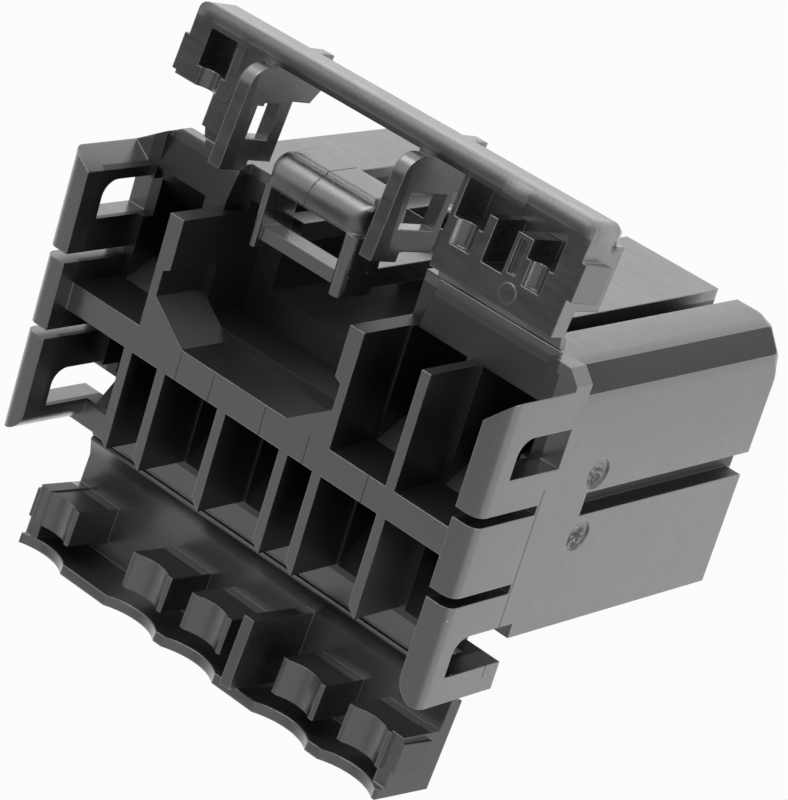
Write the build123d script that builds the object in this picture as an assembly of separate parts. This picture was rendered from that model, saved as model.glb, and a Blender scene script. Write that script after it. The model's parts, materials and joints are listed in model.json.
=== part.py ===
from build123d import *
import os

os.makedirs("parts", exist_ok=True)

# Eight-way receptacle housing for blade terminals, moulded with two hinged wire-side retainers.
# Frame: the mating face lies on z = 0 and the wire side is up (+Z). X runs across the row of
# cavities and +Y is the latch side. All lengths are millimetres, angles are degrees.

# Shell
WIDTH = 41.8
SHELL_WALL = 2.0
HALF_WIDTH = WIDTH / 2
HALF_INNER = HALF_WIDTH - SHELL_WALL
NOSE_HEIGHT = 20.4
NOSE_TOP = NOSE_HEIGHT / 2
NOSE_BOTTOM = -NOSE_HEIGHT / 2
NOSE_LENGTH = 23.5
COLLAR_THICKNESS = 1.7
COLLAR_DROP = 4.0
COLLAR_REAR = NOSE_LENGTH + COLLAR_THICKNESS
COLLAR_BOTTOM = NOSE_BOTTOM - COLLAR_DROP
FINGER_LENGTH = 6.4
TOTAL_LENGTH = COLLAR_REAR + FINGER_LENGTH

# Walls behind the collar: five cavities in the lower row, three in the upper row, and two
# slim gaps that only space the cavities apart
PARTITION = 0.8
CAVITY_PITCH = 6.1
LEFT_GAP_PITCH = 3.4
RIGHT_GAP_PITCH = 3.2
SHELF_TOP = -2.0
SHELF_THICKNESS = 2.1
SHELF_BOTTOM = SHELF_TOP - SHELF_THICKNESS
SHELF_SETBACK = 1.55
SHELF_END = TOTAL_LENGTH - SHELF_SETBACK
LOWER_TIP = -11.9
TIP_SLANT = 0.7
UPPER_TIP = 6.8
P0 = -HALF_INNER + CAVITY_PITCH + PARTITION / 2
P1 = P0 + LEFT_GAP_PITCH
P2 = P1 + CAVITY_PITCH
P3 = P2 + CAVITY_PITCH
P4 = P3 + RIGHT_GAP_PITCH
P5 = P4 + CAVITY_PITCH
PARTITIONS = [P0, P1, P2, P3, P4, P5]

# Bores in the nose, each with a blade entry in the face wall and a funnel at the collar
FACE_WALL = 2.2
BORE_WIDTH = 5.0
LOWER_BORE = (-9.0, SHELF_BOTTOM)
UPPER_BORE = (-0.4, 7.0)
KEY_BORE = (-0.4, 4.4)
FUNNEL_LENGTH = 2.4
ENTRY_WIDTH = 3.4
ENTRY_MARGIN = 0.7
GAP_DEPTH = 5.4

# Latch trough between the upper cavities, and the channel that carries the latch through the nose
TROUGH_LEFT = P0 + PARTITION / 2
TROUGH_RIGHT = P4 + PARTITION / 2
TROUGH_FLOOR = -1.8
SLOPE_RUN = 3.5
SLOPE_TOP = 0.65
POST_SLIM = 0.7
POST_THICK = 1.3
POST_STEP = 2.65
CHANNEL_LEFT_REACH = 5.8
CHANNEL_LEDGE = 7.8
CHANNEL_FLOOR = 1.2
THROAT_LENGTH = 4.25
RAMP_FOOT = 7.4
RAMP_DEPTH = 0.7
RAMP_HALF = 18.2

# Nose
NOSE_CHAMFER_WIDTH = 1.65
NOSE_CHAMFER_DROP = 2.15
NOSE_END_ROUND = 1.3
FACE_CHAMFER = 0.5
COLUMN_INSET = 6.6
COLUMN_SLOT = 1.6
COLUMN_SLOT_DEPTH = 2.6
COLUMN_ROUND = 1.0
KEY_TOP = 5.4
GROOVE_BOTTOM = -1.35
GROOVE_HEIGHT = 1.8
GROOVE_DEPTH = 1.3
GROOVE_END = 19.8
GROOVE_LEAD = 0.6
EJECTOR_RADIUS = 1.15
EJECTOR_DEPTH = 0.12
EJECTOR_PLACES = ((1.8, 19.2), (-3.0, 19.1))

# Fingers and their snap windows
SLIT = 0.75
SLIT_LEVELS = (0.05, -6.0)
LEFT_FINGER_TOP = 8.0
RIGHT_FINGER_TOP = 8.9
LEFT_EAR = (2.5, 9.7)
LEFT_EAR_END = 3.3
RIGHT_EAR_SLOPE = 0.95
FINGER_CORNER = 0.9
FINGER_FOOT = 1.8
WINDOW_HEIGHT = 3.0
WINDOW_MARGIN = 2.1
WINDOW_CORNER = 1.3
UPPER_WINDOW = (4.5, 5.3)
LOWER_WINDOW = (-10.55, 6.1)

# Hinges: a thin web bends about a line just off the collar, drawn as a bead over a root rib
BEAD_RADIUS = 0.3
BEAD_GAP = 0.1
LID_SIDE_GAP = 0.45
LID_HALF = HALF_INNER - LID_SIDE_GAP
UPPER_AXIS = (NOSE_TOP + 0.7, COLLAR_REAR - 0.6)
UPPER_LEAN = 8
LOWER_AXIS = (COLLAR_BOTTOM - 1.2, COLLAR_REAR - 1.4)
LOWER_LEAN = 6

# Upper retainer, in its own flat frame: s runs from the hinge to the free edge, d faces the wires
UPPER_FRONT = 1.8
UPPER_BACK = -2.4
UPPER_END = 8.8
UPPER_PLATE = 1.5
PLATE_START = 0.65
BODY_START = 2.6
BAR_START = 7.3
BAR_ROUND = 1.2
BAR_END_ROUND = 0.7
LEFT_BLOCK_START = 3.15
LEFT_BLOCK_INSET = 0.85
LEFT_WEB_WIDTH = 1.95
LEFT_WEB_DEPTH = (0.3, 1.0)
RIGHT_BLOCK_INSET = 0.7
CHEEK = 1.7
LEFT_POCKET_WALL = 0.8
RIGHT_POCKET_WALL = 0.4
POCKET_FLOOR = -1.5
POCKET_START = 4.5
UPPER_SADDLE_START = 2.7
RIB_SPANS = ((-2.0, -1.3), (0.55, 1.9))
RIB_TOP = 5.8
RIB_SINK = 0.3
BAR_TAB = (-1.7, 0.3)
BAR_TAB_TOP = 8.3
BAR_TAB_RISE = 0.25
DISC_OFFSET = (1.55, 1.75)
DISC_RADIUS = 0.7
DISC_RISE = 0.06

# Guard legs beside the latch, as offsets from its middle
LEG_OFFSETS = (-7.85, 6.8)
LEG_THICKNESS = 1.1
LEG_FRONT = 3.9
LEG_BACKS = (-1.3, -2.4)
LEG_TOP = 7.1
LEG_HEEL = 0.2
LEG_TOE = -0.6
LEG_STEP = 1.1
LEG_ROUND = 1.6
LEG_WINDOW_HEIGHT = (1.8, 4.5)
LEG_WINDOW_DEPTHS = ((-0.1, 2.3), (-1.7, 2.3))
LEG_CLEARANCE = 0.15
ARM_REACH = -3.9
ARM_NOSE = -3.2
ARM_UNDERSIDE = 4.8
ARM_SLANT = 1.0

# Wedge tabs on the end cheeks of both retainers: thin at the front, thick at the back
UPPER_TAB_RISES = (0.4, 0.75)
LOWER_TAB_RISES = (0.25, 0.4)
UPPER_TAB = (3.4, 6.1)
UPPER_TAB_BACK = -0.8
LOWER_TAB = (4.0, 6.3)
LOWER_TAB_BACK = 0.9

# Lower retainer, in the same kind of frame
LOWER_FRONT = 3.9
LOWER_BACK = -1.4
LOWER_PLATE = 1.2
LOWER_END = 8.4
RIM = 0.8
RIM_FRONT = 4.6
LOWER_PLATE_START = 1.3
CHEEK_START = 3.6
LOWER_CHEEK = 1.1
LOWER_SADDLE = (3.7, 6.5)
SADDLE_FRONT = 4.1
SADDLE_WIDTH = 4.05
SADDLE_SHIFT = -0.35
SADDLE_HORN = 0.4
SADDLE_DIP = 0.6
SCALLOP_DEPTH = 1.0
SCALLOP_SIDE = 0.6
FIN_THICKNESS = 0.9
FIN_FRONT = 6.5
FIN_RANGE = (1.6, 7.1)

# Latch lever
LATCH_X = P2
PAD_WIDTH = 8.8
PAD_FRONT = 26.8
PAD_LENGTH = 4.6
PAD_BOTTOM = 10.9
PAD_TOP = 13.25
PAD_ROUND = 1.9
PAD_CORNERS = (0.6, 1.6)
PLATEAU_RISE = 0.2
PLATEAU_FRONT = 25.3
PLATEAU_MARGIN = 0.5
LEVER_LEGS = (0.55, 1.3)
LEVER_LEG_ROUNDS = (0.2, 0.6)
LEVER_LEG_DEPTH = 3.4
LEVER_LEG_BOTTOM = 6.3
ARM_WIDTH = 1.6
ARM_BOTTOM = 6.8
ARM_THICKNESS = 1.5
LEDGE = (6.9, 7.9, 1.8)
LEDGE_SETBACK = 0.4
ROOT_AXIS_Z = 7.35
ROOT_RADIUS = ARM_THICKNESS / 2
ROOT_GAP = 0.1
HOOK_Z = 13.0
HOOK_LENGTH = 1.8
HOOK_RISE = 1.2


def block(x0, x1, y0, y1, z0, z1):
    """Box between two opposite corners, given in any order on each axis."""
    size = (abs(x1 - x0), abs(y1 - y0), abs(z1 - z0))
    return Pos((x0 + x1) / 2, (y0 + y1) / 2, (z0 + z1) / 2) * Box(*size)


def prism_z(points, z0, z1):
    """Solid with an outline in XY, from z0 up to z1."""
    return Pos(0, 0, z0) * extrude(make_face(Polyline(*points, close=True)), amount=z1 - z0)


def prism_x(points, x0, x1):
    """Solid with an outline in YZ, between x0 and x1."""
    outline = make_face(Plane.YZ * Polyline(*points, close=True))
    return Pos(min(x0, x1), 0, 0) * extrude(outline, amount=abs(x1 - x0), dir=(1, 0, 0))


def bead(x0, x1):
    """Rolled end of a hinge web, on the hinge line."""
    return Pos((x0 + x1) / 2, 0, 0) * Rot(0, 90, 0) * Cylinder(BEAD_RADIUS, x1 - x0)


def cavity_spans():
    """Clear width of each lower cavity between its two partitions, from left to right."""
    half = PARTITION / 2
    return [
        (-HALF_INNER, P0 - half),
        (P1 + half, P2 - half),
        (P2 + half, P3 - half),
        (P4 + half, P5 - half),
        (P5 + half, HALF_INNER),
    ]


def make_nose():
    """Mating block: chamfered on the right, stepped down on the left as the key."""
    column_edge = HALF_WIDTH - COLUMN_INSET
    outline = [
        (-HALF_WIDTH, NOSE_BOTTOM),
        (HALF_WIDTH, NOSE_BOTTOM),
        (HALF_WIDTH, NOSE_TOP - NOSE_CHAMFER_DROP),
        (HALF_WIDTH - NOSE_CHAMFER_WIDTH, NOSE_TOP),
        (-column_edge, NOSE_TOP),
        (-column_edge, KEY_TOP),
        (-HALF_WIDTH, KEY_TOP),
    ]
    nose = prism_z(outline, 0, NOSE_LENGTH)
    face_edges = nose.faces().sort_by(Axis.Z)[0].edges()
    slanted = face_edges.filter_by(Axis.X, reverse=True).filter_by(Axis.Y, reverse=True)
    nose = fillet(slanted, NOSE_END_ROUND)
    face_edges = nose.faces().sort_by(Axis.Z)[0].edges()
    nose = chamfer(face_edges.filter_by(Axis.X) + face_edges.filter_by(Axis.Y), FACE_CHAMFER)
    slot_floor = NOSE_TOP - COLUMN_SLOT_DEPTH
    nose -= block(column_edge, column_edge + COLUMN_SLOT, slot_floor, NOSE_TOP + 1, -1, NOSE_LENGTH)
    rounding = Pos(column_edge - COLUMN_ROUND, slot_floor, COLUMN_ROUND) * Rot(90, 0, 0)
    end_corner = block(column_edge - COLUMN_ROUND, column_edge, slot_floor, NOSE_TOP, 0, COLUMN_ROUND)
    nose -= end_corner - rounding * Cylinder(COLUMN_ROUND, 4 * COLUMN_SLOT_DEPTH)
    groove_top = GROOVE_BOTTOM + GROOVE_HEIGHT
    lead = [(GROOVE_BOTTOM, 0), (GROOVE_BOTTOM, GROOVE_LEAD), (GROOVE_BOTTOM - GROOVE_LEAD, 0)]
    for side in (-1, 1):
        floor = side * (HALF_WIDTH - GROOVE_DEPTH)
        nose -= block(floor, side * (HALF_WIDTH + 1), GROOVE_BOTTOM, groove_top, -1, GROOVE_END)
        nose -= prism_x(lead, floor, side * HALF_WIDTH)
    for y, z in EJECTOR_PLACES:
        mark = Pos(HALF_WIDTH, y, z) * Rot(0, 90, 0) * Cylinder(EJECTOR_RADIUS, 2 * EJECTOR_DEPTH)
        nose -= mark
    return nose


def make_shell():
    """Collar with three fingers on each side; the upper and lower ones carry snap windows."""
    outline = [
        (-HALF_WIDTH, COLLAR_BOTTOM),
        (HALF_WIDTH, COLLAR_BOTTOM),
        (HALF_WIDTH, RIGHT_FINGER_TOP),
        (HALF_INNER, UPPER_TIP),
        (-HALF_INNER, UPPER_TIP),
        (-HALF_WIDTH, LEFT_FINGER_TOP),
    ]
    shell = prism_z(outline, NOSE_LENGTH, TOTAL_LENGTH)
    rear = shell.faces().sort_by(Axis.Z)[-1]
    shell = fillet(rear.edges().filter_by(Axis.Y), FINGER_CORNER)
    inside_top = NOSE_TOP + 1
    shell -= block(-HALF_INNER, HALF_INNER, COLLAR_BOTTOM - 1, inside_top, COLLAR_REAR, TOTAL_LENGTH + 1)
    feet = shell.edges().filter_by(Axis.Z).group_by(Axis.Y)[0]
    shell = fillet(feet.sort_by(lambda edge: abs(edge.center().X))[:2], FINGER_FOOT)
    ears = [
        (-HALF_WIDTH, UPPER_TIP),
        (HALF_WIDTH, UPPER_TIP),
        (HALF_WIDTH, NOSE_TOP - RIGHT_EAR_SLOPE),
        (HALF_WIDTH - RIGHT_EAR_SLOPE, NOSE_TOP),
        (-HALF_WIDTH + LEFT_EAR_END, NOSE_TOP),
        (-HALF_WIDTH + LEFT_EAR[0], LEFT_EAR[1]),
        (-HALF_WIDTH, LEFT_FINGER_TOP),
    ]
    shell += prism_z(ears, NOSE_LENGTH, COLLAR_REAR)
    window_rear = TOTAL_LENGTH - WINDOW_MARGIN
    for side in (-1, 1):
        inner = side * (HALF_INNER - 1)
        outer = side * (HALF_WIDTH + 1)
        for level in SLIT_LEVELS:
            shell -= block(inner, outer, level - SLIT / 2, level + SLIT / 2, COLLAR_REAR, TOTAL_LENGTH + 1)
        for level, length in (UPPER_WINDOW, LOWER_WINDOW):
            low = level - WINDOW_HEIGHT / 2
            hole = block(inner, outer, low, low + WINDOW_HEIGHT, window_rear - length, window_rear)
            corner = hole.edges().filter_by(Axis.X).group_by(Axis.Z)[-1].sort_by(Axis.Y)[-1]
            shell -= fillet(corner, WINDOW_CORNER)
    return shell


def make_walls():
    """Shelf, partitions, trough floor and latch posts behind the collar."""
    walls = block(-HALF_WIDTH + 1, HALF_WIDTH - 1, SHELF_BOTTOM, SHELF_TOP, NOSE_LENGTH, COLLAR_REAR)
    walls += block(-HALF_INNER, HALF_INNER, SHELF_BOTTOM, SHELF_TOP, NOSE_LENGTH, SHELF_END)
    for centre in PARTITIONS:
        left, right = centre - PARTITION / 2, centre + PARTITION / 2
        wall = [
            (left, SHELF_BOTTOM),
            (left, LOWER_TIP + TIP_SLANT),
            (right, LOWER_TIP),
            (right, SHELF_BOTTOM),
        ]
        walls += prism_z(wall, NOSE_LENGTH, SHELF_END)
    walls += block(P5 - PARTITION / 2, P5 + PARTITION / 2, SHELF_TOP, UPPER_TIP, NOSE_LENGTH, SHELF_END)
    foot_left = TROUGH_LEFT + POST_SLIM
    foot_right = TROUGH_RIGHT - POST_SLIM
    trough = [
        (TROUGH_LEFT, SHELF_BOTTOM),
        (TROUGH_RIGHT, SHELF_BOTTOM),
        (TROUGH_RIGHT, SLOPE_TOP),
        (foot_right, SLOPE_TOP),
        (foot_right - SLOPE_RUN, TROUGH_FLOOR),
        (foot_left + SLOPE_RUN, TROUGH_FLOOR),
        (foot_left, SLOPE_TOP),
        (TROUGH_LEFT, SLOPE_TOP),
    ]
    walls += prism_z(trough, NOSE_LENGTH, SHELF_END)
    for edge, inward in ((TROUGH_LEFT, 1), (TROUGH_RIGHT, -1)):
        post = [
            (edge, SHELF_TOP),
            (edge + inward * POST_SLIM, SHELF_TOP),
            (edge + inward * POST_SLIM, POST_STEP),
            (edge + inward * POST_THICK, POST_STEP + (POST_THICK - POST_SLIM) / 2),
            (edge + inward * POST_THICK, UPPER_TIP),
            (edge, UPPER_TIP),
        ]
        walls += prism_z(post, NOSE_LENGTH, SHELF_END)
    return walls


def cavity(left, right, bore, mouth):
    """Hollow for one terminal: a funnel from the mouth heights, a bore and a blade entry."""
    centre = (left + right) / 2
    funnel_foot = COLLAR_REAR - FUNNEL_LENGTH
    profile = [
        (mouth[0], COLLAR_REAR),
        (mouth[1], COLLAR_REAR),
        (bore[1], funnel_foot),
        (bore[1], FACE_WALL),
        (bore[0], FACE_WALL),
        (bore[0], funnel_foot),
    ]
    hollow = prism_x(profile, centre - BORE_WIDTH / 2, centre + BORE_WIDTH / 2)
    entry = (bore[0] + ENTRY_MARGIN, bore[1] - ENTRY_MARGIN)
    hollow += block(centre - ENTRY_WIDTH / 2, centre + ENTRY_WIDTH / 2, *entry, -1, FACE_WALL)
    return hollow


def make_housing():
    body = make_nose() + make_shell() + make_walls()
    spans = cavity_spans()
    for left, right in spans:
        body -= cavity(left, right, LOWER_BORE, (LOWER_TIP, SHELF_BOTTOM))
    mouth = (SHELF_TOP, UPPER_BORE[1])
    body -= cavity(*spans[0], KEY_BORE, mouth)
    body -= cavity(*spans[3], UPPER_BORE, mouth)
    body -= cavity(*spans[4], UPPER_BORE, mouth)
    for left, right in ((P0, P1), (P3, P4)):
        gap = (left + PARTITION / 2, right - PARTITION / 2)
        body -= block(*gap, *LOWER_BORE, COLLAR_REAR - GAP_DEPTH, COLLAR_REAR)
    left, right = TROUGH_LEFT + POST_THICK, TROUGH_RIGHT - POST_THICK
    body -= block(LATCH_X - CHANNEL_LEFT_REACH, right, CHANNEL_FLOOR, NOSE_TOP + 1, -1, COLLAR_REAR)
    throat = COLLAR_REAR - THROAT_LENGTH
    body -= block(left, right, TROUGH_FLOOR + POST_SLIM, CHANNEL_LEDGE, throat, COLLAR_REAR)
    leg_side = LATCH_X + LEG_OFFSETS[0] - LEG_THICKNESS / 2 - LEG_CLEARANCE
    lid_start = TROUGH_RIGHT + RIGHT_BLOCK_INSET
    body -= block(leg_side, lid_start, UPPER_TIP, NOSE_TOP + 1, NOSE_LENGTH, COLLAR_REAR)
    ramp = [(RAMP_FOOT, COLLAR_REAR), (NOSE_TOP, COLLAR_REAR - RAMP_DEPTH), (NOSE_TOP, COLLAR_REAR)]
    body -= prism_x(ramp, -RAMP_HALF, RAMP_HALF)
    root_low = ROOT_AXIS_Z - ROOT_RADIUS
    body += latch_block(CHANNEL_FLOOR, ARM_BOTTOM - ROOT_GAP, root_low, 2 * ROOT_RADIUS)
    y, z = UPPER_AXIS
    for x0, x1 in hinge_spans():
        body += block(x0, x1, NOSE_TOP - 1, y - BEAD_RADIUS - BEAD_GAP, z - BEAD_RADIUS, z)
    y, z = LOWER_AXIS
    rib_end = y + BEAD_RADIUS + BEAD_GAP
    body += block(-LID_HALF, LID_HALF, rib_end, COLLAR_BOTTOM + 1, z - BEAD_RADIUS, z + BEAD_RADIUS)
    return body


def latch_block(y0, y1, z0, length):
    """Block as wide as the latch pad."""
    return block(LATCH_X - PAD_WIDTH / 2, LATCH_X + PAD_WIDTH / 2, y0, y1, z0, z0 + length)


def hinge_spans():
    """Left and right lengths of the upper hinge, on both sides of the latch."""
    left_end = P0 - LEFT_BLOCK_INSET
    return [(left_end - LEFT_WEB_WIDTH, left_end), (TROUGH_RIGHT + RIGHT_BLOCK_INSET, LID_HALF)]


def saddle(x0, x1, s0, s1, d0, d1):
    """Block with a concave face whose axis runs along the wire."""
    half = (x1 - x0) / 2 - SADDLE_HORN
    radius = (half**2 + SADDLE_DIP**2) / (2 * SADDLE_DIP)
    centre = Pos((x0 + x1) / 2, (s0 + s1) / 2, d1 + radius - SADDLE_DIP)
    return block(x0, x1, s0, s1, d0, d1) - centre * Rot(90, 0, 0) * Cylinder(radius, s1 - s0 + 1)


def snap_tab(side, span, back, front, rises):
    """Wedge on the outside of an end cheek, seen in plan as a ramp that rises towards the back."""
    cheek = side * LID_HALF
    plan = [
        (cheek, back),
        (cheek + side * rises[1], back),
        (cheek + side * rises[0], front),
        (cheek, front),
    ]
    outline = make_face(Plane.XZ * Polyline(*plan, close=True))
    return Pos(0, span[0], 0) * extrude(outline, amount=span[1] - span[0], dir=(0, 1, 0))


def guard_leg(centre, back, window):
    """Windowed plate beside the latch, with an arm that reaches back from the bar."""
    x0, x1 = centre - LEG_THICKNESS / 2, centre + LEG_THICKNESS / 2
    outline = [
        (LEG_HEEL, back),
        (LEG_HEEL, LEG_STEP),
        (LEG_TOE, LEG_STEP),
        (LEG_TOE, LEG_FRONT),
        (LEG_TOP, LEG_FRONT),
        (LEG_TOP, back),
    ]
    leg = prism_x(outline, x0, x1)
    corner = leg.edges().filter_by(Axis.X).group_by(Axis.Y)[-1].sort_by(Axis.Z)[-1]
    leg = fillet(corner, LEG_ROUND)
    arm = [
        (ARM_UNDERSIDE, 0),
        (ARM_UNDERSIDE, ARM_NOSE),
        (ARM_UNDERSIDE + ARM_SLANT, ARM_REACH),
        (BAR_START + BAR_ROUND, ARM_REACH),
        (BAR_START + BAR_ROUND, 0),
    ]
    leg += prism_x(arm, x0, x1)
    leg += block(x0, x1, LEG_TOP - LEG_ROUND, BAR_START, 0, UPPER_FRONT)
    return leg - block(x0 - 1, x1 + 1, *LEG_WINDOW_HEIGHT, *window)


def make_upper_retainer():
    """Upper lid, drawn flat with its hinge on the X axis and its inner face towards +Z."""
    (web_left, left_end), (right_start, _) = hinge_spans()
    bar = block(-LID_HALF, LID_HALF, BAR_START, UPPER_END, UPPER_BACK, UPPER_FRONT)
    bar = fillet(bar.edges().filter_by(Axis.Z).group_by(Axis.Y)[-1], BAR_END_ROUND)
    back_edge = bar.edges().filter_by(Axis.X).group_by(Axis.Y)[-1].sort_by(Axis.Z)[0]
    lid = chamfer(back_edge, BAR_ROUND / 2, BAR_ROUND)
    # left block with one saddle and one pocket, hung on a narrow web
    depth = (UPPER_BACK, UPPER_FRONT)
    plate_back = UPPER_FRONT - UPPER_PLATE
    saddle_floor = plate_back + SADDLE_HORN
    lid += block(-LID_HALF, left_end, LEFT_BLOCK_START, BAR_START, *depth)
    x0, x1 = -LID_HALF + CHEEK, left_end - LEFT_POCKET_WALL
    lid -= block(x0, x1, LEFT_BLOCK_START, POCKET_START, saddle_floor, UPPER_FRONT)
    lid -= block(x0, x1, POCKET_START, BAR_START, POCKET_FLOOR, UPPER_FRONT)
    lid += saddle(x0, x1, LEFT_BLOCK_START, POCKET_START, saddle_floor, UPPER_FRONT)
    lid += block(web_left, left_end, PLATE_START, LEFT_BLOCK_START, *LEFT_WEB_DEPTH)
    # right block with two ribs and two saddles in one wide pocket
    lid += block(right_start, LID_HALF, BODY_START, BAR_START, *depth)
    lid += block(right_start, LID_HALF, PLATE_START, BODY_START, plate_back, UPPER_FRONT)
    x0, x1 = right_start + RIGHT_POCKET_WALL, LID_HALF - CHEEK
    lid -= block(x0, x1, UPPER_SADDLE_START, BAR_START, saddle_floor, UPPER_FRONT)
    lid -= block(x0, x1, POCKET_START, BAR_START, POCKET_FLOOR, UPPER_FRONT)
    (slim_left, slim_right), (wide_left, wide_right) = [(P5 + a, P5 + b) for a, b in RIB_SPANS]
    for left, right in ((x0, slim_left), (wide_right, x1)):
        lid += saddle(left, right, UPPER_SADDLE_START, POCKET_START, saddle_floor, UPPER_FRONT)
    lid -= block(slim_right, wide_left, UPPER_SADDLE_START, BAR_START, POCKET_FLOOR, UPPER_FRONT)
    for left, right in ((slim_left, slim_right), (wide_left, wide_right)):
        lid += block(left, right, UPPER_SADDLE_START, RIB_TOP, POCKET_FLOOR, UPPER_FRONT)
    sink_low, sink_high = UPPER_SADDLE_START + RIB_SINK, RIB_TOP - RIB_SINK
    sink_floor = UPPER_FRONT - RIB_SINK
    lid -= block(wide_left + RIB_SINK, wide_right - RIB_SINK, sink_low, sink_high, sink_floor, UPPER_FRONT)
    tab_left, tab_right = P5 + BAR_TAB[0], P5 + BAR_TAB[1]
    lid += block(tab_left, tab_right, BAR_START, BAR_TAB_TOP, UPPER_FRONT, UPPER_FRONT + BAR_TAB_RISE)
    disc = Pos(P5 + DISC_OFFSET[0], DISC_OFFSET[1], UPPER_FRONT)
    lid += disc * Cylinder(DISC_RADIUS, 2 * DISC_RISE)
    for offset, back, window in zip(LEG_OFFSETS, LEG_BACKS, LEG_WINDOW_DEPTHS):
        lid += guard_leg(LATCH_X + offset, back, window)
    for side in (-1, 1):
        lid += snap_tab(side, UPPER_TAB, UPPER_TAB_BACK, UPPER_FRONT, UPPER_TAB_RISES)
    # hinge webs and beads
    thin = plate_back + BEAD_RADIUS
    web = [(0, -BEAD_RADIUS), (0, BEAD_RADIUS), (PLATE_START, thin), (PLATE_START, thin - 2 * BEAD_RADIUS)]
    for x0, x1 in hinge_spans():
        lid += prism_x(web, x0, x1) + bead(x0, x1)
    return lid


def make_lower_retainer():
    """Lower lid, drawn flat with its hinge on the X axis and its inner face towards +Z."""
    plate_front = LOWER_BACK + LOWER_PLATE
    lid = block(-LID_HALF, LID_HALF, LOWER_PLATE_START, LOWER_END, LOWER_BACK, plate_front)
    lid += block(-LID_HALF, LID_HALF, LOWER_END - RIM, LOWER_END, LOWER_BACK, RIM_FRONT)
    for side in (-1, 1):
        outer = side * LID_HALF
        inner = outer - side * LOWER_CHEEK
        lid += block(inner, outer, CHEEK_START, LOWER_END, LOWER_BACK, LOWER_FRONT)
        lid += snap_tab(side, LOWER_TAB, LOWER_TAB_BACK, LOWER_FRONT, LOWER_TAB_RISES)
    # one saddle and one scallop in the rim for each cavity
    reach = SADDLE_WIDTH / 2 + SCALLOP_SIDE
    radius = (reach**2 + SCALLOP_DEPTH**2) / (2 * SCALLOP_DEPTH)
    for left, right in cavity_spans():
        centre = (left + right) / 2 + SADDLE_SHIFT
        x0, x1 = centre - SADDLE_WIDTH / 2, centre + SADDLE_WIDTH / 2
        lid += saddle(x0, x1, *LOWER_SADDLE, plate_front, SADDLE_FRONT)
        axis = Pos(centre, LOWER_END, RIM_FRONT + radius - SCALLOP_DEPTH)
        bite = axis * Rot(90, 0, 0) * Cylinder(radius, 4 * RIM)
        lid -= bite & block(centre - reach, centre + reach, LOWER_END - RIM, LOWER_END + 1, 0, RIM_FRONT + 1)
    fin_x = (P3 + P4) / 2
    lid += block(fin_x - FIN_THICKNESS / 2, fin_x + FIN_THICKNESS / 2, *FIN_RANGE, LOWER_BACK, FIN_FRONT)
    thin = plate_front - 2 * BEAD_RADIUS
    web = [(0, -BEAD_RADIUS), (0, BEAD_RADIUS), (LOWER_PLATE_START, plate_front), (LOWER_PLATE_START, thin)]
    lid += prism_x(web, -LID_HALF, LID_HALF) + bead(-LID_HALF, LID_HALF)
    return lid


def make_pad():
    """Thumb pad: rounded over the front, rounded in plan, with a low plateau on top."""
    pad = latch_block(PAD_BOTTOM, PAD_TOP, PAD_FRONT - PAD_LENGTH, PAD_LENGTH)
    front_edge = pad.edges().filter_by(Axis.X).group_by(Axis.Y)[-1].sort_by(Axis.Z)[-1]
    pad = fillet(front_edge, PAD_ROUND)
    plan = latch_block(PAD_BOTTOM - 1, PAD_TOP + 1, PAD_FRONT - PAD_LENGTH, PAD_LENGTH)
    uprights = plan.edges().filter_by(Axis.Y).group_by(Axis.Z)[-1].sort_by(Axis.X)
    left_round, right_round = PAD_CORNERS
    plan = fillet(uprights[0], left_round)
    plan = fillet(plan.edges().filter_by(Axis.Y).group_by(Axis.Z)[-1].sort_by(Axis.X)[-1], right_round)
    half = PAD_WIDTH / 2 - PLATEAU_MARGIN
    back = PAD_FRONT - PAD_LENGTH
    top = block(LATCH_X - half, LATCH_X + half, PAD_TOP, PAD_TOP + PLATEAU_RISE, back, PLATEAU_FRONT)
    return (pad & plan) + top


def make_latch():
    """Latch lever: thumb pad on two legs, and two arms that run to a rounded root in the nose."""
    lever = make_pad()
    arm_top = ARM_BOTTOM + ARM_THICKNESS
    leg_back = PAD_FRONT - LEVER_LEG_DEPTH
    for side, width, rounding in zip((-1, 1), LEVER_LEGS, LEVER_LEG_ROUNDS):
        outer = LATCH_X + side * PAD_WIDTH / 2
        leg = block(outer - side * width, outer, LEVER_LEG_BOTTOM, PAD_BOTTOM, leg_back, PAD_FRONT)
        lever += fillet(leg.edges().filter_by(Axis.Y).group_by(Axis.Z)[-1], rounding)
        lever += block(outer - side * ARM_WIDTH, outer, ARM_BOTTOM, arm_top, ROOT_AXIS_Z, leg_back)
    ledge_low, ledge_high, ledge_length = LEDGE
    lever += latch_block(ledge_low, ledge_high, PAD_FRONT - LEDGE_SETBACK - ledge_length, ledge_length)
    root = Pos(LATCH_X, ARM_BOTTOM + ROOT_RADIUS, ROOT_AXIS_Z) * Rot(0, 90, 0)
    lever += root * Cylinder(ROOT_RADIUS, PAD_WIDTH)
    hook = [
        (ARM_BOTTOM, HOOK_Z),
        (arm_top, HOOK_Z),
        (arm_top + HOOK_RISE, HOOK_Z + HOOK_LENGTH),
        (ARM_BOTTOM, HOOK_Z + HOOK_LENGTH),
    ]
    lever += prism_x(hook, LATCH_X - PAD_WIDTH / 2, LATCH_X + PAD_WIDTH / 2)
    return lever


def stand(lid, axis, turn):
    """Turn a flat lid about its hinge line and put the line in its place."""
    return Pos(0, axis[0], axis[1]) * Rot(turn, 0, 0) * lid


upper_retainer = stand(make_upper_retainer(), UPPER_AXIS, -UPPER_LEAN)
lower_retainer = stand(mirror(make_lower_retainer(), about=Plane.XZ), LOWER_AXIS, -LOWER_LEAN)

export_step(make_housing(), "parts/housing.step")
export_step(upper_retainer, "parts/upper_retainer.step")
export_step(lower_retainer, "parts/lower_retainer.step")
export_step(make_latch(), "parts/latch_lever.step")
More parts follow.
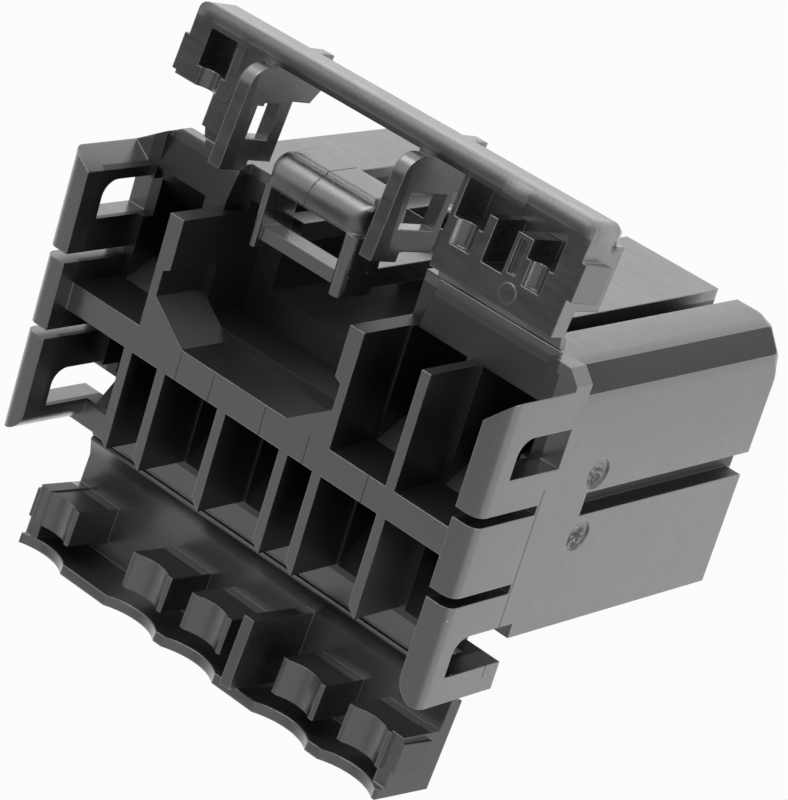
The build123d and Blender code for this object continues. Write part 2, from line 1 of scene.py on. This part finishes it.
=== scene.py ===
import json
import math

import bpy
from mathutils import Matrix, Vector

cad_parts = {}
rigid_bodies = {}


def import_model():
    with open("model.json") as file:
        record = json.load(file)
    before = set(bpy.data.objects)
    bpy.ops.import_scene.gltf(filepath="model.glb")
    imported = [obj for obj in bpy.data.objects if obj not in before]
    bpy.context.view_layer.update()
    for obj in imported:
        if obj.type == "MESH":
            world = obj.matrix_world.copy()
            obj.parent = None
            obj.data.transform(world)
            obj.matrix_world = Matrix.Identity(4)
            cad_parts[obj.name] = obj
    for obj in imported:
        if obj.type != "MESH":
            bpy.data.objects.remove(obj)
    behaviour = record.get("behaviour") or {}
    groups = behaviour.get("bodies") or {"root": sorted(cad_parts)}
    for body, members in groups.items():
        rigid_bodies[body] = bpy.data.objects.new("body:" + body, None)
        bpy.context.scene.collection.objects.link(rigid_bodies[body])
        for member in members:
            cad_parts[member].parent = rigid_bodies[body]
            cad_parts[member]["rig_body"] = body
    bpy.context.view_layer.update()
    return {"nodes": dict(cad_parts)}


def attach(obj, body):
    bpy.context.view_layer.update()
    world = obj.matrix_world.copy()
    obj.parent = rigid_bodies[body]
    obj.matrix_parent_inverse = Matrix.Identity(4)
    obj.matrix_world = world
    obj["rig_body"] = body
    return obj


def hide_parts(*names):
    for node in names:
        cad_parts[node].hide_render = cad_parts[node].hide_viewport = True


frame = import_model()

# Housing: one moulding in black PBT, a stiff thermoplastic polyester. The tool's polished steel leaves
# the faces satin, the corners catch the light and carry a painted highlight, and the melt leaves faint
# flow marks.
MM = 0.001
PBT_BLACK = "#2a2a29"
PBT_MOTTLE = "#232322"
PBT_IOR = 1.57
SHEEN_IOR = 1.8
SHEEN_ROUGHNESS = 0.24
FLOW_WIDTH = 8 * MM
DUST_COLOUR = "#c9c8c4"
SPECK_SPACING = 2.6 * MM
SPECK_CORE = 0.022
SPECK_RIM = 0.034
CLEAN_SHARE = 0.62
STREAK_WIDTH = 0.5 * MM
HAZE_WIDTH = 3 * MM
POLISHED_BY = 0.1
RUBBED_BY = 0.12
GRAIN_WIDTH = 0.12 * MM
GRAIN_DEPTH = 0.004 * MM
RIPPLE_WIDTH = 5 * MM
RIPPLE_DEPTH = 0.05 * MM
EDGE_RADIUS = 0.14 * MM
# a lighter colour painted along the edges: painted highlight, partly thin flash
FLASH_AND_EDGE_HIGHLIGHT_COLOUR = "#8d8d8a"
FLASH_AND_HIGHLIGHT_MOST = 0.4


def linear(hex_colour):
    """sRGB hex to linear RGBA."""
    parts = [int(hex_colour[i:i + 2], 16) / 255 for i in (1, 3, 5)]
    return [c / 12.92 if c <= 0.04045 else ((c + 0.055) / 1.055) ** 2.4 for c in parts] + [1.0]


def add_node(tree, kind, settings=None, inputs=None):
    """Adds a node, sets its properties, and sets or links its inputs."""
    node = tree.nodes.new(kind)
    for key, value in (settings or {}).items():
        setattr(node, key, value)
    for key, value in (inputs or {}).items():
        if isinstance(value, bpy.types.NodeSocket):
            tree.links.new(value, node.inputs[key])
        else:
            node.inputs[key].default_value = value
    return node


def box_mask(material, lowest, highest):
    """Mask of the box between two corners in mm."""
    tree = material.node_tree
    place = add_node(tree, "ShaderNodeTexCoord")
    at = add_node(tree, "ShaderNodeSeparateXYZ", {}, {"Vector": place.outputs["Object"]})
    mask = 1.0
    for axis, (low, high) in enumerate(zip(lowest, highest)):
        span = add_node(tree, "ShaderNodeMath", {"operation": "COMPARE"}, {
            0: at.outputs[axis], 1: (low + high) / 2 * MM, 2: (high - low) / 2 * MM})
        both = add_node(tree, "ShaderNodeMath", {"operation": "MULTIPLY"}, {0: mask, 1: span.outputs[0]})
        mask = both.outputs[0]
    return mask


def moulded_pbt(name, colour, mottle, roughness, offset, soft_place, soft_radius):
    """Satin black PBT: flow mottle, flash and painted edge highlight, grain, handling scratches and dust.

    The edges inside the box soft_place, two corners in mm, have their own radius and no flash or painted
    highlight.
    """
    material = bpy.data.materials.new(name)
    material.use_nodes = True
    tree = material.node_tree
    tree.nodes.clear()
    place = add_node(tree, "ShaderNodeTexCoord")
    spot = add_node(tree, "ShaderNodeMapping", {}, {"Vector": place.outputs["Object"], "Location": offset})
    # flow marks, where the melt cooled at uneven speed
    flow = add_node(tree, "ShaderNodeTexNoise", {}, {
        "Vector": spot.outputs[0], "Scale": 1 / FLOW_WIDTH, "Detail": 4.0, "Roughness": 0.6})
    tone = add_node(tree, "ShaderNodeMix", {"data_type": "RGBA"}, {
        "Factor": flow.outputs["Fac"], "A": linear(mottle), "B": linear(colour)})
    # a few specks of dust, some 0.15 mm across
    specks = add_node(tree, "ShaderNodeTexVoronoi", {}, {
        "Vector": spot.outputs[0], "Scale": 1 / SPECK_SPACING, "Randomness": 1.0})
    speck_edge = add_node(tree, "ShaderNodeMapRange", {}, {
        "Value": specks.outputs["Distance"], "From Min": SPECK_CORE, "From Max": SPECK_RIM,
        "To Min": 1.0, "To Max": 0.0})
    lucky = add_node(tree, "ShaderNodeSeparateColor", {}, {"Color": specks.outputs["Color"]})
    some = add_node(tree, "ShaderNodeMath", {"operation": "GREATER_THAN"}, {
        0: lucky.outputs[0], 1: CLEAN_SHARE})
    dust = add_node(tree, "ShaderNodeMath", {"operation": "MULTIPLY"}, {
        0: speck_edge.outputs[0], 1: some.outputs[0]})
    dusted = add_node(tree, "ShaderNodeMix", {"data_type": "RGBA"}, {
        "Factor": dust.outputs[0], "A": tone.outputs["Result"], "B": linear(DUST_COLOUR)})
    # handling scratches are long, fine streaks across the faces, and haze lies between them
    streak_way = add_node(tree, "ShaderNodeMapping", {}, {
        "Vector": spot.outputs[0], "Rotation": (0.3, 0.2, 0.5), "Scale": (0.12, 1.0, 1.0)})
    streaks = add_node(tree, "ShaderNodeTexNoise", {}, {
        "Vector": streak_way.outputs[0], "Scale": 1 / STREAK_WIDTH, "Detail": 3.0, "Roughness": 0.7})
    haze = add_node(tree, "ShaderNodeTexNoise", {}, {
        "Vector": spot.outputs[0], "Scale": 1 / HAZE_WIDTH, "Detail": 5.0, "Roughness": 0.65})
    mixed = add_node(tree, "ShaderNodeMath", {"operation": "ADD"}, {
        0: streaks.outputs["Fac"], 1: haze.outputs["Fac"]})
    satin = add_node(tree, "ShaderNodeMapRange", {}, {
        "Value": mixed.outputs[0], "From Min": 0.7, "From Max": 1.35,
        "To Min": roughness - POLISHED_BY, "To Max": roughness + RUBBED_BY})
    # the grain is drawn coarser than the real texture so that it shows
    grain = add_node(tree, "ShaderNodeTexNoise", {}, {
        "Vector": spot.outputs[0], "Scale": 1 / GRAIN_WIDTH, "Detail": 2.0, "Roughness": 0.5})
    ripple = add_node(tree, "ShaderNodeTexNoise", {}, {
        "Vector": spot.outputs[0], "Scale": 1 / RIPPLE_WIDTH, "Detail": 1.0})
    inside = box_mask(material, *soft_place)
    radius = add_node(tree, "ShaderNodeMapRange", {}, {
        "Value": inside, "To Min": EDGE_RADIUS, "To Max": soft_radius})
    soft_edge = add_node(tree, "ShaderNodeBevel", {"samples": 6}, {"Radius": radius.outputs[0]})
    sink = add_node(tree, "ShaderNodeBump", {}, {
        "Height": ripple.outputs["Fac"], "Distance": RIPPLE_DEPTH, "Strength": 0.5,
        "Normal": soft_edge.outputs[0]})
    bump = add_node(tree, "ShaderNodeBump", {}, {
        "Height": grain.outputs["Fac"], "Distance": GRAIN_DEPTH, "Strength": 0.5,
        "Normal": sink.outputs[0]})
    # a lighter colour is painted in broken lines along every edge outside soft_place: a painted highlight
    # of the edges, partly thin flash
    flat_way = add_node(tree, "ShaderNodeNewGeometry")
    turned = add_node(tree, "ShaderNodeVectorMath", {"operation": "DOT_PRODUCT"}, {
        0: flat_way.outputs["True Normal"], 1: soft_edge.outputs[0]})
    edge = add_node(tree, "ShaderNodeMapRange", {}, {
        "Value": turned.outputs["Value"], "From Min": 0.93, "From Max": 0.985,
        "To Min": 1.0, "To Max": 0.0})
    broken = add_node(tree, "ShaderNodeMapRange", {}, {
        "Value": haze.outputs["Fac"], "From Min": 0.48, "From Max": 0.62,
        "To Min": 0.0, "To Max": FLASH_AND_HIGHLIGHT_MOST})
    outside = add_node(tree, "ShaderNodeMapRange", {}, {"Value": inside, "To Min": 1.0, "To Max": 0.0})
    lit_edge = add_node(tree, "ShaderNodeMath", {"operation": "MULTIPLY"}, {
        0: edge.outputs[0], 1: outside.outputs[0]})
    flash_and_highlight = add_node(tree, "ShaderNodeMath", {"operation": "MULTIPLY"}, {
        0: lit_edge.outputs[0], 1: broken.outputs[0]})
    finished = add_node(tree, "ShaderNodeMix", {"data_type": "RGBA"}, {
        "Factor": flash_and_highlight.outputs[0], "A": dusted.outputs["Result"], "B": linear(FLASH_AND_EDGE_HIGHLIGHT_COLOUR)})
    # the polished skin mirrors more than bare PBT does, as a coat
    shader = add_node(tree, "ShaderNodeBsdfPrincipled", {"name": "skin"}, {
        "Base Color": finished.outputs["Result"], "Roughness": satin.outputs[0], "IOR": PBT_IOR,
        "Specular IOR Level": 1.0, "Coat Weight": 1.0, "Coat Roughness": SHEEN_ROUGHNESS,
        "Coat IOR": SHEEN_IOR, "Normal": bump.outputs[0], "Coat Normal": bump.outputs[0]})
    add_node(tree, "ShaderNodeOutputMaterial", {}, {"Surface": shader.outputs[0]})
    return material


def roughen(material, place, roughness):
    """Takes the polished skin off a masked place, where the tool was rough; place is 0 to 1."""
    tree = material.node_tree
    skin = tree.nodes["skin"]
    satin = skin.inputs["Roughness"].links[0].from_socket
    rough = add_node(tree, "ShaderNodeMix", {"data_type": "FLOAT"}, {
        "Factor": place, "A": satin, "B": roughness})
    gone = add_node(tree, "ShaderNodeMapRange", {}, {"Value": place, "To Min": 1.0, "To Max": 0.0})
    before = skin.inputs["Coat Weight"]
    left = add_node(tree, "ShaderNodeMath", {"operation": "MULTIPLY"}, {
        0: before.links[0].from_socket if before.is_linked else 1.0, 1: gone.outputs[0]})
    tree.links.new(rough.outputs["Result"], skin.inputs["Roughness"])
    tree.links.new(left.outputs[0], before)


def mark(material, place, colour, depth=0.0, roughness=0.8):
    """Tints, roughens and sinks a masked place of a material."""
    tree = material.node_tree
    skin = tree.nodes["skin"]
    tone = skin.inputs["Base Color"].links[0].from_socket
    normal = skin.inputs["Normal"].links[0].from_socket
    tint = add_node(tree, "ShaderNodeMix", {"data_type": "RGBA"}, {
        "Factor": place, "A": tone, "B": linear(colour)})
    dent = add_node(tree, "ShaderNodeBump", {"invert": True}, {
        "Height": place, "Distance": depth, "Normal": normal})
    tree.links.new(tint.outputs["Result"], skin.inputs["Base Color"])
    for socket in ("Normal", "Coat Normal"):
        tree.links.new(dent.outputs[0], skin.inputs[socket])
    roughen(material, place, roughness)


FACE_REACH = 0.06


def plane_mask(material, normal, distance, lowest, highest):
    """Mask of a flat face by its normal and distance in mm, inside a box in mm."""
    tree = material.node_tree
    place = add_node(tree, "ShaderNodeTexCoord")
    reach = add_node(tree, "ShaderNodeVectorMath", {"operation": "DOT_PRODUCT"}, {
        0: place.outputs["Object"], 1: Vector(normal).normalized()})
    near = add_node(tree, "ShaderNodeMath", {"operation": "COMPARE"}, {
        0: reach.outputs["Value"], 1: distance * MM, 2: FACE_REACH * MM})
    both = add_node(tree, "ShaderNodeMath", {"operation": "MULTIPLY"}, {
        0: near.outputs[0], 1: box_mask(material, lowest, highest)})
    return both.outputs[0]


def disc(material, centre, radius, edge):
    """Mask of a round spot, centre and sizes in mm, fading over its edge."""
    tree = material.node_tree
    place = add_node(tree, "ShaderNodeTexCoord")
    away = add_node(tree, "ShaderNodeVectorMath", {"operation": "DISTANCE"}, {
        0: place.outputs["Object"], 1: [c * MM for c in centre]})
    mask = add_node(tree, "ShaderNodeMapRange", {}, {
        "Value": away.outputs["Value"], "From Min": (radius - edge) * MM, "From Max": radius * MM,
        "To Min": 1.0, "To Max": 0.0})
    return mask.outputs[0]


def pitted(material, spot, grain):
    """Mask of the rough pits inside a spot, grain in mm."""
    tree = material.node_tree
    place = add_node(tree, "ShaderNodeTexCoord")
    rough = add_node(tree, "ShaderNodeTexNoise", {}, {
        "Vector": place.outputs["Object"], "Scale": 1 / (grain * MM), "Detail": 3.0, "Roughness": 0.7})
    pits = add_node(tree, "ShaderNodeMapRange", {}, {
        "Value": rough.outputs["Fac"], "From Min": 0.45, "From Max": 0.6})
    mask = add_node(tree, "ShaderNodeMath", {"operation": "MULTIPLY"}, {0: pits.outputs[0], 1: spot})
    return mask.outputs[0]


WELD = 0.002 * MM
SMOOTH_UNDER = math.radians(30)


def dress(node, name, material):
    """Merged copy of a CAD node with smooth rounds, which stands for that node."""
    source = frame["nodes"][node]
    piece = source.copy()
    piece.data = source.data.copy()
    piece.name = name
    piece.data.name = name
    piece.parent = None
    for key in list(piece.keys()):
        del piece[key]
    bpy.context.scene.collection.objects.link(piece)
    bpy.ops.object.select_all(action="DESELECT")
    bpy.context.view_layer.objects.active = piece
    piece.select_set(True)
    bpy.ops.object.mode_set(mode="EDIT")
    bpy.ops.mesh.select_all(action="SELECT")
    bpy.ops.mesh.remove_doubles(threshold=WELD)
    bpy.ops.object.mode_set(mode="OBJECT")
    bpy.ops.mesh.customdata_custom_splitnormals_clear()
    bpy.ops.object.shade_smooth_by_angle(angle=SMOOTH_UNDER)
    piece.select_set(False)
    piece.data.materials.clear()
    piece.data.materials.append(material)
    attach(piece, source["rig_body"])
    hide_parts(node)


# the edges inside the cavities are sharp, and get no flash or painted edge highlight
CAVITIES = ((-19.3, -12.2, 0.0), (19.3, 9.4, 29.3))
housing_pbt = moulded_pbt(
    "housing_satin_pbt", PBT_BLACK, PBT_MOTTLE, roughness=0.34, offset=(0.0, 0.0, 0.0),
    soft_place=CAVITIES, soft_radius=0.02 * MM)

# tool inserts meet along the shelf's edge
SEAM_COLOUR = "#101010"
SEAM_HALF = 0.04
SEAM_DEPTH = 0.03 * MM
for seam_x in (-7.65, -4.35, 0.7, 4.95, 10.55):
    shelf_seam = box_mask(housing_pbt, (seam_x - SEAM_HALF, -4.1, 29.0), (seam_x + SEAM_HALF, -2.0, 31.0))
    mark(housing_pbt, shelf_seam, SEAM_COLOUR, depth=SEAM_DEPTH)

# one more runs down the right side where the fingers leave the collar
FINGER_SEAM = 25.0
finger_seam = box_mask(
    housing_pbt, (20.0, -13.0, FINGER_SEAM - SEAM_HALF), (21.0, 1.6, FINGER_SEAM + SEAM_HALF))
mark(housing_pbt, finger_seam, SEAM_COLOUR, depth=SEAM_DEPTH)

# ejector pins left two rough discs on the right side
SIDE = 20.8
PIT_COLOUR = "#1d1d1c"
PIT_DEPTH = 0.08 * MM
for pin_y, pin_z in ((1.7, 19.4), (-3.1, 19.3)):
    pin = disc(housing_pbt, (SIDE, pin_y, pin_z), radius=1.15, edge=0.5)
    mark(housing_pbt, pitted(housing_pbt, pin, grain=0.35), PIT_COLOUR, depth=PIT_DEPTH)

# the nose chamfer, the groove, the collar's rear and the cavities are painted near black and made rougher:
# painted shade in the groove, on the collar's rear under the lid and in the cavities, and a painted dark
# reflection on the chamfer
PAINTED_SHADE_COLOUR = "#0d0d0d"
NOSE_CHAMFER = 21.48
COLLAR_REAR = 25.2
chamfer = plane_mask(housing_pbt, (2.15, 1.65, 0), NOSE_CHAMFER, (19, 7.9, -1), (21, 10.4, 23.5))
groove = box_mask(housing_pbt, (19.2, -1.4, -1), (20.85, 0.46, 19.9))
collar_rear = plane_mask(housing_pbt, (0, 0, 1), COLLAR_REAR, (-19, 2, 20), (19, 12, 28))
cavities = box_mask(housing_pbt, (-19.3, -12.4, -1), (19.3, 9.4, 29.95))
for painted_shade_place, roughness in ((chamfer, 0.85), (groove, 0.5), (collar_rear, 0.5), (cavities, 0.42)):
    mark(housing_pbt, painted_shade_place, PAINTED_SHADE_COLOUR, roughness=roughness)
dress("housing", "housing_moulding", housing_pbt)

# Upper retainer: the lid over the upper wires, moulded with the housing on a thin web. Its outer
# bar is polished and well rounded by the tool, so its top shines a little more.
BAR_TOP = ((-22.0, 18.3, 17.0), (22.0, 21.7, 33.0))
upper_pbt = moulded_pbt(
    "upper_retainer_pbt", PBT_BLACK, PBT_MOTTLE, roughness=0.32, offset=(0.031, 0.012, 0.007),
    soft_place=BAR_TOP, soft_radius=1.3 * MM)


def facing(material, direction, place):
    """Mask of the faces inside a place that look along a direction of the part."""
    tree = material.node_tree
    surface = add_node(tree, "ShaderNodeTexCoord")
    along = add_node(tree, "ShaderNodeVectorMath", {"operation": "DOT_PRODUCT"}, {
        0: surface.outputs["Normal"], 1: direction})
    turned = add_node(tree, "ShaderNodeMapRange", {}, {
        "Value": along.outputs["Value"], "From Min": 0.75, "From Max": 0.9})
    both = add_node(tree, "ShaderNodeMath", {"operation": "MULTIPLY"}, {0: turned.outputs[0], 1: place})
    return both.outputs[0]


# the guard legs' sides that look along +X are painted near black: painted shade
for leg_left, leg_right in ((-12.5, -9.0), (2.0, 5.5)):
    leg = box_mask(upper_pbt, (leg_left, 9.5, 27.0), (leg_right, 18.6, 40.0))
    mark(upper_pbt, facing(upper_pbt, (1, 0, 0), leg), PAINTED_SHADE_COLOUR, roughness=0.45)

# the foot of the bar's front is painted dark and made rougher, a painted shade, so only its rounded top
# shines
LIGHTER_PAINTED_SHADE_COLOUR = "#161615"
bar_foot = box_mask(upper_pbt, (-22.0, 18.0, 20.0), (22.0, 18.75, 40.0))
mark(upper_pbt, facing(upper_pbt, (0, 0, 1), bar_foot), LIGHTER_PAINTED_SHADE_COLOUR, roughness=0.42)

# a small ejector pin pushed on the right cheek
cheek_pin = disc(upper_pbt, (18.45, 17.9, 22.3), radius=0.5, edge=0.25)
mark(upper_pbt, pitted(upper_pbt, cheek_pin, grain=0.25), PIT_COLOUR, depth=PIT_DEPTH)
dress("upper_retainer", "upper_retainer_moulding", upper_pbt)

# Lower retainer: the tray with saddles under the lower wires, from the same shot of plastic and
# on a web of its own. Its scalloped rim is softly rounded, and its inner faces carry painted shade.
SCALLOPS = ((-22.0, -24.5, 20.0), (22.0, -21.5, 36.0))
lower_pbt = moulded_pbt(
    "lower_retainer_pbt", "#292928", "#222221", roughness=0.36, offset=(0.011, 0.052, 0.017),
    soft_place=SCALLOPS, soft_radius=0.25 * MM)

# the saddles' shoulders on the hinge side, which look along +Y, are painted near black as painted shade
# too
shoulders = box_mask(lower_pbt, (-19.5, -22.5, 25.0), (19.5, -15.0, 40.0))
mark(lower_pbt, facing(lower_pbt, (0, 1, 0), shoulders), PAINTED_SHADE_COLOUR, roughness=0.45)

# and the right cheek's outer face, which slides inside the fingers when the tray is closed, gets a lighter
# painted shade
cheek = box_mask(lower_pbt, (16.0, -24.0, 20.0), (22.0, -14.0, 40.0))
mark(lower_pbt, facing(lower_pbt, (1, 0, 0), cheek), LIGHTER_PAINTED_SHADE_COLOUR, roughness=0.5)
dress("lower_retainer", "lower_retainer_moulding", lower_pbt)

# Latch lever: thumb pad and two sprung arms, moulded with the housing and free to bend. The pad
# is well rounded, rubbed smooth by the thumb, and crossed by the seam of two tool inserts.
PAD = ((-7.5, 10.9, 21.9), (1.7, 14.1, 27.1))
PAD_SEAM = -3.55
latch_pbt = moulded_pbt(
    "latch_lever_pbt", PBT_BLACK, PBT_MOTTLE, roughness=0.3, offset=(0.021, 0.032, 0.047),
    soft_place=PAD, soft_radius=0.6 * MM)
pad_seam = box_mask(latch_pbt, (PAD_SEAM - SEAM_HALF, 10.5, 20.0), (PAD_SEAM + SEAM_HALF, 15.0, 28.0))
mark(latch_pbt, pad_seam, SEAM_COLOUR, depth=0.05 * MM)
dress("latch_lever", "latch_lever_moulding", latch_pbt)

# Stage: a pale paper floor under the mating face. The camera and the reflections see it as
# white, and the lamps light it as paper, so that it keeps the object's shadow.
FLOOR_SIZE = 4.0
FLOOR_COLOUR = "#e8e8e6"
WHITE_SEEN = 0.96
bpy.ops.object.select_all(action="DESELECT")
bpy.ops.mesh.primitive_plane_add(size=FLOOR_SIZE, location=(0, 0, 0))
floor = bpy.context.object
floor.name = "floor"
paper = bpy.data.materials.new("white_paper")
paper.use_nodes = True
tree = paper.node_tree
tree.nodes.clear()
path = add_node(tree, "ShaderNodeLightPath")
mirrored = add_node(tree, "ShaderNodeMath", {"operation": "MAXIMUM"}, {
    0: path.outputs["Is Glossy Ray"], 1: path.outputs["Is Transmission Ray"]})
camera_share = add_node(tree, "ShaderNodeMath", {"operation": "MULTIPLY"}, {
    0: path.outputs["Is Camera Ray"], 1: WHITE_SEEN})
seen_share = add_node(tree, "ShaderNodeMath", {"operation": "MAXIMUM"}, {
    0: mirrored.outputs[0], 1: camera_share.outputs[0]})
paper_face = add_node(tree, "ShaderNodeBsdfDiffuse", {}, {"Color": linear(FLOOR_COLOUR)})
glow = add_node(tree, "ShaderNodeEmission", {}, {"Color": (1, 1, 1, 1), "Strength": 1.0})
sheet = add_node(tree, "ShaderNodeMixShader", {}, {
    0: seen_share.outputs[0], 1: paper_face.outputs[0], 2: glow.outputs[0]})
add_node(tree, "ShaderNodeOutputMaterial", {}, {"Surface": sheet.outputs[0]})
floor.data.materials.append(paper)

# Studio: reflections see a white tent that darkens upwards, with a dark opening where the
# camera looks in, and the camera sees plain white.
OPENING = (-0.52, 0.02, 0.85)
OPENING_LEVEL = 0.1
TENT_TOP_LEVEL = 0.55
SCREEN = (-0.47, 0.66, 0.58)
FILL_LEVEL = 0.2
world = bpy.data.worlds.new("studio")
bpy.context.scene.world = world
world.use_nodes = True
tree = world.node_tree
tree.nodes.clear()
look = add_node(tree, "ShaderNodeTexCoord")
opening = add_node(tree, "ShaderNodeVectorMath", {"operation": "DOT_PRODUCT"}, {
    0: look.outputs["Generated"], 1: OPENING})
hole = add_node(tree, "ShaderNodeMapRange", {}, {
    "Value": opening.outputs["Value"], "From Min": 0.92, "From Max": 0.99,
    "To Min": 1.0, "To Max": OPENING_LEVEL})
direction = add_node(tree, "ShaderNodeSeparateXYZ", {}, {"Vector": look.outputs["Generated"]})
height = add_node(tree, "ShaderNodeMapRange", {}, {
    "Value": direction.outputs["Z"], "From Min": 0.02, "From Max": 0.5,
    "To Min": 1.0, "To Max": TENT_TOP_LEVEL})
shaded = add_node(tree, "ShaderNodeMath", {"operation": "MULTIPLY"}, {
    0: hole.outputs[0], 1: height.outputs[0]})
# a white screen behind the latch side shows in the rounded top edges
behind = add_node(tree, "ShaderNodeVectorMath", {"operation": "DOT_PRODUCT"}, {
    0: look.outputs["Generated"], 1: SCREEN})
screen = add_node(tree, "ShaderNodeMapRange", {}, {
    "Value": behind.outputs["Value"], "From Min": 0.72, "From Max": 0.88})
tent = add_node(tree, "ShaderNodeMath", {"operation": "MAXIMUM"}, {
    0: shaded.outputs[0], 1: screen.outputs[0]})
world_path = add_node(tree, "ShaderNodeLightPath")
world_mirrored = add_node(tree, "ShaderNodeMath", {"operation": "MAXIMUM"}, {
    0: world_path.outputs["Is Glossy Ray"], 1: world_path.outputs["Is Transmission Ray"]})
level = add_node(tree, "ShaderNodeMix", {"data_type": "FLOAT"}, {
    "Factor": world_mirrored.outputs[0], "A": FILL_LEVEL, "B": tent.outputs[0]})
brightness = add_node(tree, "ShaderNodeMix", {"data_type": "FLOAT"}, {
    "Factor": world_path.outputs["Is Camera Ray"], "A": level.outputs[0], "B": 1.0})
sky = add_node(tree, "ShaderNodeBackground", {}, {
    "Color": linear("#ffffff"), "Strength": brightness.outputs[0]})
add_node(tree, "ShaderNodeOutputWorld", {}, {"Surface": sky.outputs[0]})

SOFTBOX_WIDTH = 0.5
SOFTBOX_HEIGHT = 0.4
OBJECT_MIDDLE = (0.0, 0.0, 0.015)


def softbox(name, place, power):
    """Rectangular area lamp at a place, facing the object."""
    lamp = bpy.data.lights.new(name, "AREA")
    lamp.shape = "RECTANGLE"
    lamp.size = SOFTBOX_WIDTH
    lamp.size_y = SOFTBOX_HEIGHT
    lamp.energy = power
    holder = bpy.data.objects.new(name, lamp)
    bpy.context.scene.collection.objects.link(holder)
    way = Vector(place) - Vector(OBJECT_MIDDLE)
    holder.matrix_world = Matrix.Translation(place) @ way.to_track_quat("Z", "Y").to_matrix().to_4x4()


softbox("top_softbox", (-0.12, 0.60, 0.10), power=2.5)
softbox("side_softbox", (0.62, 0.10, 0.08), power=1.4)

# Camera: at the photograph's angle and distance, which were fitted to the outline of the real
# object. The lens follows from the fitted focal length in pixels.
LENS_PIXELS = 3522.19
FRAME_PIXELS = 800
CAMERA_PLACE = (0.13346, 0.09360, 0.20673)
camera = bpy.data.objects.new("camera", bpy.data.cameras.new("camera"))
bpy.context.scene.collection.objects.link(camera)
camera.data.sensor_width = 36
camera.data.lens = LENS_PIXELS / FRAME_PIXELS * camera.data.sensor_width
camera.data.clip_start = 0.01
right_way = Vector((0.7181, 0.2756, -0.6391))
back_way = Vector((0.5266, 0.3852, 0.7578))
up_way = back_way.cross(right_way)
turn = Matrix((right_way, up_way, back_way)).transposed().to_4x4()
camera.matrix_world = Matrix.Translation(CAMERA_PLACE) @ turn
bpy.context.scene.camera = camera
bpy.context.scene.view_settings.view_transform = "Standard"
